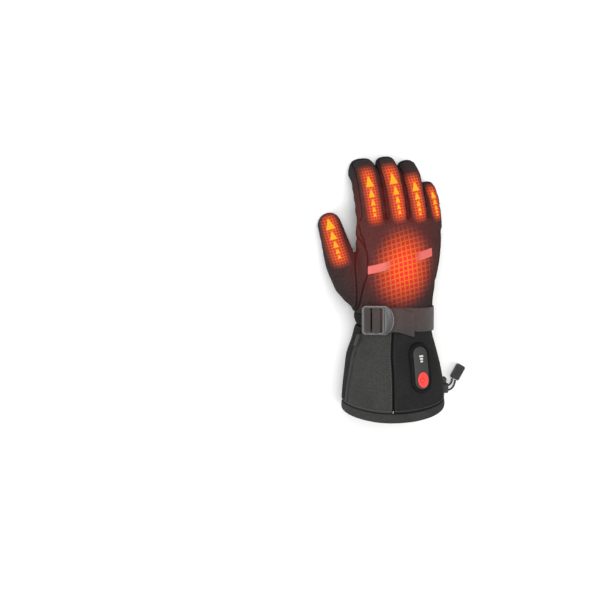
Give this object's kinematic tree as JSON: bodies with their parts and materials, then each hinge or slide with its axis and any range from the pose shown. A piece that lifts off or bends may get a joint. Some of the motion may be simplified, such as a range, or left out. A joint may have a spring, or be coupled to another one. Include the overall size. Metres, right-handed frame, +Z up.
{
  "type": "heated glove",
  "caption": "Padded right-hand heated glove with gauntlet cuff, buckled wrist strap, control panel on the cuff and a drawcord at its hem, lying palm down.",
  "frame": {"origin": "middle of the footprint on the surface that the glove lies on, its drawcord left out", "axes": "+X towards the little finger's side, +Y from the cuff to the fingertips, +Z up out of the back of the hand"},
  "size_m": [0.1945, 0.3153, 0.0829],
  "materials": {
    "softshell": "matte brushed",
    "palm_cloth": "matte",
    "cuff_texture": "matte textured",
    "hem_binding": "matte",
    "grip_leather": "speckled grip",
    "webbing": "woven",
    "reflective_ribbon": "satin",
    "grey_plastic": "satin",
    "panel_plastic": "satin",
    "led_lens": "smooth",
    "red_button": "satin",
    "black_cord": "braided",
    "black_coil": "ribbed",
    "black_plastic": "satin"
  },
  "bodies": {
    "root": {"hand_back": "softshell", "index_side": "softshell", "middle_side": "softshell", "ring_side": "softshell", "pinky_side": "softshell", "finger_fronts": "palm_cloth", "palm_grip": "grip_leather", "palm_heel": "palm_cloth", "thumb_back": "softshell", "thumb_front": "palm_cloth", "thumb_gusset": "softshell", "wrist_band": "palm_cloth", "cuff_front_left": "cuff_texture", "cuff_front_right": "softshell", "cuff_palm": "palm_cloth", "hem_band": "hem_binding", "zip_tape": "black_coil", "zip_pull": "webbing", "reflective_strip": "reflective_ribbon", "wrist_strap": "webbing", "buckle": "grey_plastic", "buckle_anchor": "webbing", "strap_keeper": "palm_cloth", "controller_surround": "hem_binding", "controller_face": "panel_plastic", "led_bar_1": "led_lens", "led_bar_2": "led_lens", "led_bar_3": "led_lens", "power_button": "red_button", "cord_tab": "palm_cloth", "drawcord_front": "black_cord", "drawcord_back": "black_cord", "cord_lock": "black_plastic", "cord_plunger": "black_plastic", "pull_tab": "black_plastic"}
  },
  "joints": []
}
